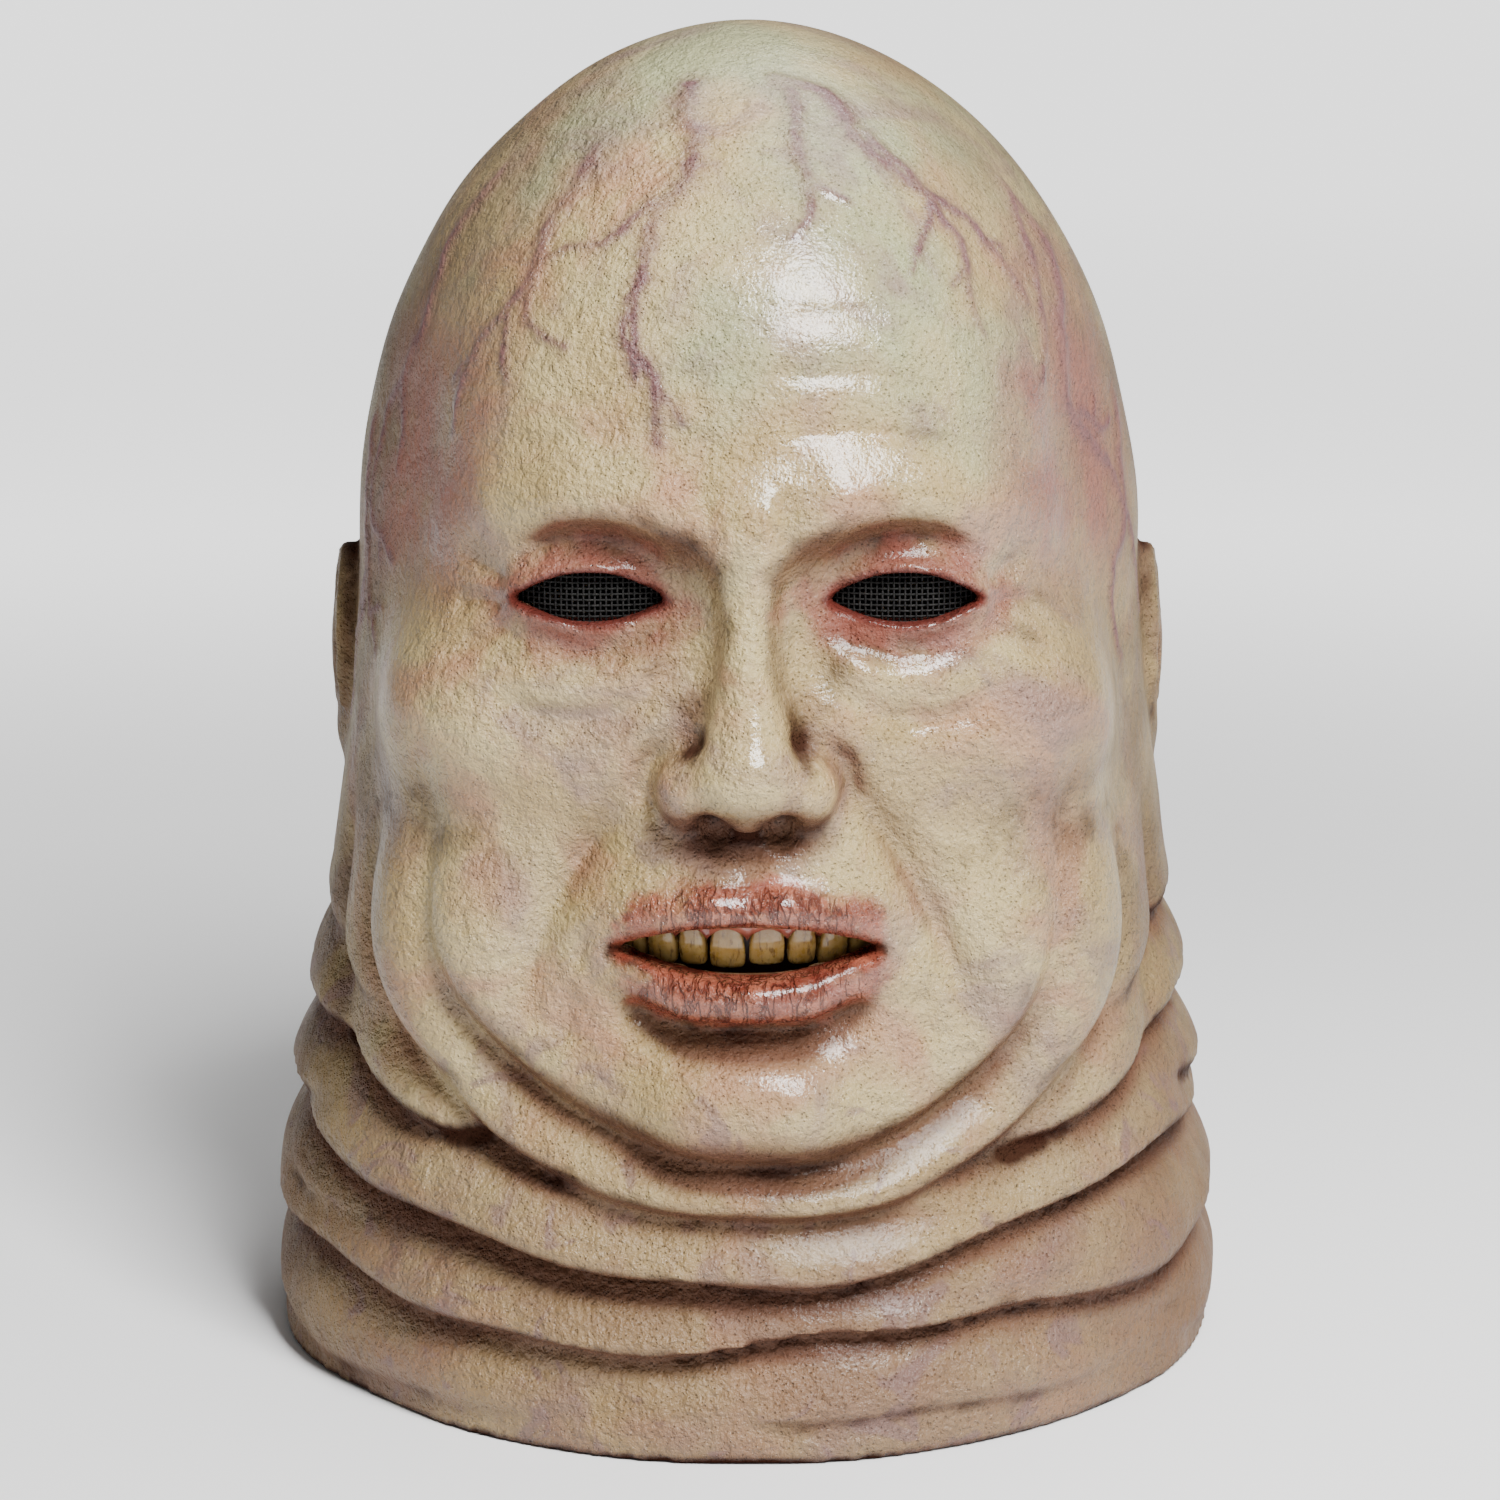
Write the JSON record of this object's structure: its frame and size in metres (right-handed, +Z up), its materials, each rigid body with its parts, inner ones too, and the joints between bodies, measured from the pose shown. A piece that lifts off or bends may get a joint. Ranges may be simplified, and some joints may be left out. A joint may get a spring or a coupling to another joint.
{
  "type": "latex halloween mask",
  "caption": "Full-head latex ghoul mask with folded neck, veined bald head, stained teeth, mesh eyes, padded inside and slit at the nape.",
  "frame": {"origin": "centre of the hem, on the surface that the mask stands on", "axes": "+Z up, the face looks along -Y, +X is the wearer's left"},
  "size_m": [0.2466, 0.2402, 0.32],
  "materials": {
    "latex": "satin painted latex",
    "reinforcement": "cloth soaked in latex",
    "mesh": "black woven mesh",
    "teeth": "stained gloss",
    "gum": "wet gloss",
    "plate": "matt",
    "foam": "open-cell foam"
  },
  "bodies": {
    "mask": {"latex_skin": "latex", "slit_patch": "reinforcement", "mouth_flange": "reinforcement", "eye_screen_left": "mesh", "eye_screen_right": "mesh", "upper_teeth": "teeth", "upper_gum": "gum", "denture_plate": "plate", "crown_pad": "foam", "brow_pad": "foam", "nape_pad": "foam", "temple_pad_left": "foam", "temple_pad_right": "foam"},
    "nape_flap_left": {"nape_flap_left": "latex"},
    "nape_flap_right": {"nape_flap_right": "latex"}
  },
  "joints": [
    {"name": "nape_flap_left", "type": "hinge", "parent": "mask", "child": "nape_flap_left", "pos_m": [0, 0.101, 0.118], "axis": [0.5502, 0.0656, -0.8324], "range_deg": [0, 45], "stiffness_Nm_per_rad": 0.06},
    {"name": "nape_flap_right", "type": "hinge", "parent": "mask", "child": "nape_flap_right", "pos_m": [0, 0.101, 0.118], "axis": [0.5502, -0.0656, 0.8324], "range_deg": [0, 45], "stiffness_Nm_per_rad": 0.06}
  ]
}
